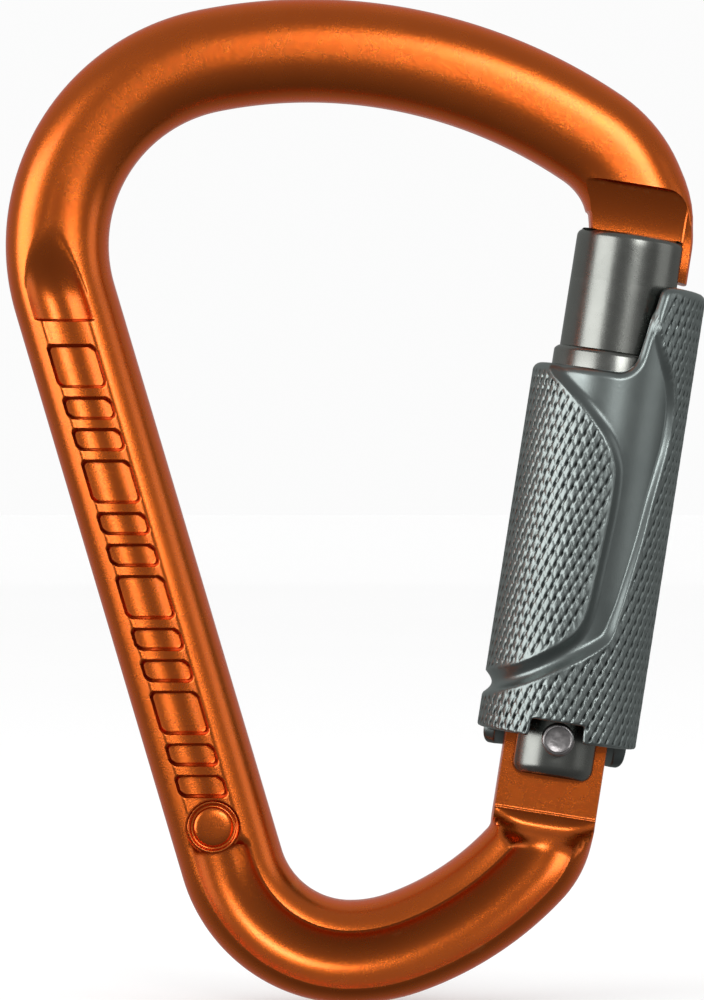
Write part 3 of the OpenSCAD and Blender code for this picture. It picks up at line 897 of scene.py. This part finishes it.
# ---------------------------------------------------------------- materials
class Look:
    """A node material with one surface shader, and the nodes that feed it."""

    def __init__(self, name, shader="ShaderNodeBsdfPrincipled", output="BSDF"):
        self.material = bpy.data.materials.new(name)
        self.material.use_nodes = True
        self.nodes, self.links = self.material.node_tree.nodes, self.material.node_tree.links
        self.nodes.clear()
        out = self.nodes.new("ShaderNodeOutputMaterial")
        self.shader = self.nodes.new(shader)
        self.links.new(self.shader.outputs[output], out.inputs["Surface"])
        self.coords = self.nodes.new("ShaderNodeTexCoord").outputs["Object"]

    def set(self, **inputs):
        """Set the shader's inputs, which are named with _ for each space; an output is linked."""
        for name, value in inputs.items():
            self.put(self.shader.inputs[name.replace("_", " ")], value)

    def put(self, socket, value):
        """Give a socket a value, or link an output to it."""
        if isinstance(value, bpy.types.NodeSocket):
            self.links.new(value, socket)
        elif isinstance(value, tuple) and len(value) == 3 and socket.type == "RGBA":
            socket.default_value = (*value, 1.0)
        else:
            socket.default_value = value

    def noise(self, scale, detail, rough=0.55, stretch=None):
        texture = self.nodes.new("ShaderNodeTexNoise")
        where = self.coords
        if stretch:
            mapping = self.nodes.new("ShaderNodeMapping")
            self.put(mapping.inputs["Scale"], stretch)
            self.put(mapping.inputs["Vector"], where)
            where = mapping.outputs["Vector"]
        for name, value in (("Scale", scale), ("Detail", detail), ("Roughness", rough), ("Vector", where)):
            self.put(texture.inputs[name], value)
        return texture.outputs["Fac"]

    def ranged(self, value, low, high, to_low, to_high):
        """An output whose span from low to high is carried to another span."""
        node = self.nodes.new("ShaderNodeMapRange")
        for name, number in (("Value", value), ("From Min", low), ("From Max", high), ("To Min", to_low),
                             ("To Max", to_high)):
            self.put(node.inputs[name], number)
        return node.outputs["Result"]

    def mixed(self, factor, a, b):
        """Colour between a and b, each a colour or an output."""
        node = self.nodes.new("ShaderNodeMix")
        node.data_type = "RGBA"
        for socket, value in ((0, factor), (6, a), (7, b)):
            self.put(node.inputs[socket], value)
        return node.outputs[2]

    def maths(self, operation, a, b):
        node = self.nodes.new("ShaderNodeMath")
        node.operation = operation
        self.put(node.inputs[0], a)
        self.put(node.inputs[1], b)
        return node.outputs[0]


def metal(name, dark, light, edge_highlight_colour, roughness, grain, bump, edge_highlight, coat=0.0, stretch=None, metallic=1.0,
          cloud=90.0, tint=(1.0, 1.0, 1.0), shade_colour=None, uneven=0.03):
    """Metal with cloudy colour, a painted highlight on its convex edges broken up by noise, uneven gloss and
    a fine grain; bump is in mm.
    """
    look = Look(name)
    clouds = look.noise(cloud, 4.0, 0.6)
    colour = look.mixed(look.ranged(clouds, 0.35, 0.65, 0, 1), dark, light)
    # Painted highlight: convex edges, found by pointiness, are lightened toward a brighter copy of the colour
    pointiness = look.nodes.new("ShaderNodeNewGeometry").outputs["Pointiness"]
    edges = look.ranged(pointiness, 0.52, 0.62, 0.0, edge_highlight)
    broken = look.ranged(look.noise(700.0, 3.0, 0.6), 0.38, 0.62, 0.25, 1.0)
    colour = look.mixed(look.maths("MULTIPLY", edges, broken), colour, edge_highlight_colour)
    # Painted shade: the colour is pulled toward a very dark shade colour where the mesh's painted-shade value
    # is high
    if shade_colour:
        painted_shade = look.nodes.new("ShaderNodeAttribute")
        painted_shade.attribute_name = "painted_shade"
        colour = look.mixed(look.ranged(painted_shade.outputs["Fac"], 0.1, 0.8, 0, 0.92), colour, shade_colour)
    gloss = look.ranged(look.noise(350.0, 5.0, 0.7), 0.3, 0.7, roughness - uneven, roughness + uneven)
    bumped = look.nodes.new("ShaderNodeBump")
    look.put(bumped.inputs["Strength"], 0.5)
    look.put(bumped.inputs["Distance"], bump * MM)
    look.put(bumped.inputs["Height"], look.noise(grain, 2.0, 0.5, stretch))
    look.set(Base_Color=colour, Metallic=metallic, Roughness=gloss, Normal=bumped.outputs["Normal"],
             Coat_Weight=coat, Coat_Roughness=0.22, Specular_Tint=tint)
    return look.material


GREY_TINT = (0.6, 0.62, 0.61)
# In each look the very dark extra colour is painted shade for pocket walls, knurl slits and the sleeve's
# tabs, and the pale extra colour is a painted highlight for convex edges
LOOKS = {
    "anodised_orange": dict(
        dark=(0.765, 0.138, 0.009), light=(0.79, 0.148, 0.011), edge_highlight_colour=(0.95, 0.34, 0.09), roughness=0.27,
        grain=9000.0, bump=0.03, edge_highlight=0.3, coat=0.5, tint=(1.0, 0.45, 0.3), shade_colour=(0.12, 0.028, 0.004),
        uneven=0.015),
    "anodised_grey": dict(
        dark=(0.19, 0.196, 0.182), light=(0.22, 0.226, 0.21), edge_highlight_colour=(0.42, 0.42, 0.40), roughness=0.27,
        grain=2600.0, bump=0.008, edge_highlight=0.4, coat=0.1, stretch=(1.0, 1.0, 0.12), tint=GREY_TINT),
    "knurled_grey": dict(
        dark=(0.235, 0.268, 0.262), light=(0.265, 0.30, 0.292), edge_highlight_colour=(0.42, 0.45, 0.43), roughness=0.36,
        grain=4200.0, bump=0.01, edge_highlight=0.35, coat=0.1, tint=GREY_TINT, shade_colour=(0.012, 0.015, 0.015)),
    "bright_steel": dict(
        dark=(0.25, 0.238, 0.238), light=(0.42, 0.40, 0.40), edge_highlight_colour=(0.8, 0.79, 0.78), roughness=0.36,
        grain=1500.0, bump=0.06, edge_highlight=0.4, cloud=1300.0),
    "spring_steel": dict(
        dark=(0.42, 0.42, 0.43), light=(0.52, 0.52, 0.53), edge_highlight_colour=(0.7, 0.7, 0.7), roughness=0.28,
        grain=3000.0, bump=0.02, edge_highlight=0.3),
    "liner_polymer": dict(
        dark=(0.03, 0.032, 0.034), light=(0.045, 0.047, 0.05), edge_highlight_colour=(0.09, 0.09, 0.09), roughness=0.5,
        grain=2500.0, bump=0.03, edge_highlight=0.3, metallic=0.0),
}
FINISHES = {slot: metal(slot, **look) for slot, look in LOOKS.items()}


def finish(mesh, slot):
    mesh.materials.clear()
    mesh.materials.append(FINISHES[slot])


def finish_piece(piece, body_name, slot, *nodes):
    finish(piece.data, slot)
    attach(piece, body_name)
    if nodes:
        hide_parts(*nodes)


finish_piece(body, "frame", "anodised_orange", "body")
finish_piece(boss, "frame", "anodised_orange")
finish_piece(gate_tube, "gate", "anodised_grey", "gate_tube")
finish_piece(ear_front, "gate", "anodised_grey")
finish_piece(ear_rear, "gate", "anodised_grey")
finish_piece(collar, "gate", "anodised_grey", "guide_collar")
finish_piece(rivet, "gate", "bright_steel", "hinge_rivet")
finish_piece(sleeve, "sleeve", "knurled_grey", "locking_sleeve")
finish_piece(skirt_left, "sleeve", "knurled_grey")
finish_piece(skirt_right, "sleeve", "knurled_grey")

# Hidden parts keep their CAD shape
for node, slot in (("gate_plunger", "bright_steel"), ("gate_spring", "spring_steel"),
                   ("guide_pin", "bright_steel"), ("spring_seat", "bright_steel"),
                   ("sleeve_spring", "spring_steel"), ("thrust_washer", "bright_steel"),
                   ("cam_insert", "liner_polymer")):
    finish(frame["nodes"][node].data, slot)

# ---------------------------------------------------------------- stage, light and camera
FLOOR_Z = cad_low.z - 0.0002
FLOOR_HALF = 20.0
MIDDLE = (cad_low + cad_high) / 2
# Brightness of the tent that reflections see: at the bottom, at the top, and what is added behind
TENT_LOW = 0.10
TENT_HIGH = 0.36
TENT_REAR = 0.22


def make_floor():
    """Pale floor that catches the shadow, slightly lit from within."""
    look = Look("pale_floor")
    tone = look.mixed(look.noise(3.0, 2.0), (0.88, 0.88, 0.88), (0.9, 0.9, 0.9))
    look.set(Base_Color=tone, Roughness=0.9, Specular_IOR_Level=0.1, Emission_Color=(1.0, 1.0, 1.0),
             Emission_Strength=0.12)
    mesh = bpy.data.meshes.new("floor")
    corners = [(x * FLOOR_HALF, y * FLOOR_HALF, 0) for x, y in ((-1, -1), (1, -1), (1, 1), (-1, 1))]
    mesh.from_pydata(corners, [], [(0, 1, 2, 3)])
    mesh.materials.append(look.material)
    floor = bpy.data.objects.new("floor", mesh)
    floor.location.z = FLOOR_Z
    floor.visible_glossy = False
    bpy.context.scene.collection.objects.link(floor)


def make_surround():
    """Grey tent round the object that only reflections see: brighter upward and to the rear."""
    look = Look("surround", "ShaderNodeEmission", "Emission")
    axes = look.nodes.new("ShaderNodeSeparateXYZ")
    look.put(axes.inputs[0], look.coords)
    height = look.ranged(axes.outputs["Z"], -3.0, 3.0, TENT_LOW, TENT_HIGH)
    behind = look.ranged(axes.outputs["Y"], -0.6, 2.4, 0.0, TENT_REAR)
    look.set(Strength=look.maths("ADD", height, behind))
    look.material.cycles.emission_sampling = "NONE"
    mesh = bpy.data.meshes.new("surround")
    bm = bmesh.new()
    bmesh.ops.create_icosphere(bm, subdivisions=4, radius=3.0)
    bm.to_mesh(mesh)
    bm.free()
    mesh.materials.append(look.material)
    tent = bpy.data.objects.new("surround", mesh)
    bpy.context.scene.collection.objects.link(tent)
    tent.visible_camera = False
    tent.visible_diffuse = False
    tent.visible_transmission = False
    tent.visible_shadow = False


def softbox(name, azimuth, elevation, distance, size, power):
    """Rectangular lamp that faces the object's middle; azimuth runs from the front round to the right."""
    a, e = math.radians(azimuth), math.radians(elevation)
    away = Vector((math.sin(a) * math.cos(e), -math.cos(a) * math.cos(e), math.sin(e)))
    light = bpy.data.lights.new(name, "AREA")
    light.shape = "RECTANGLE"
    light.size, light.size_y = size
    light.energy = power
    lamp = bpy.data.objects.new(name, light)
    lamp.location = MIDDLE + away * distance
    lamp.rotation_mode = "QUATERNION"
    lamp.rotation_quaternion = (-away).to_track_quat("-Z", "Y")
    lamp.visible_camera = False
    bpy.context.scene.collection.objects.link(lamp)


make_floor()
make_surround()
softbox("left", -58, 6, 0.9, (0.68, 0.62), 4.6)
softbox("front", 14, 15, 1.0, (0.30, 0.24), 2.0)
softbox("right", 68, 6, 0.9, (0.44, 0.54), 0.55)

world = bpy.data.worlds.new("studio")
bpy.context.scene.world = world
world.use_nodes = True
background = world.node_tree.nodes["Background"]
background.inputs["Color"].default_value = (1, 1, 1, 1)
background.inputs["Strength"].default_value = 0.97
world.cycles.sampling_method = "NONE"

camera_data = bpy.data.cameras.new("camera")
camera_data.lens = 188
camera_data.sensor_width = 36
camera_data.clip_start, camera_data.clip_end = 0.01, 60
camera = bpy.data.objects.new("camera", camera_data)
camera.location = (0.0050, -0.60, -0.0457)
camera.rotation_euler = (math.radians(90), 0, 0)
bpy.context.scene.collection.objects.link(camera)
bpy.context.scene.camera = camera
bpy.context.scene.view_settings.view_transform = "Standard"
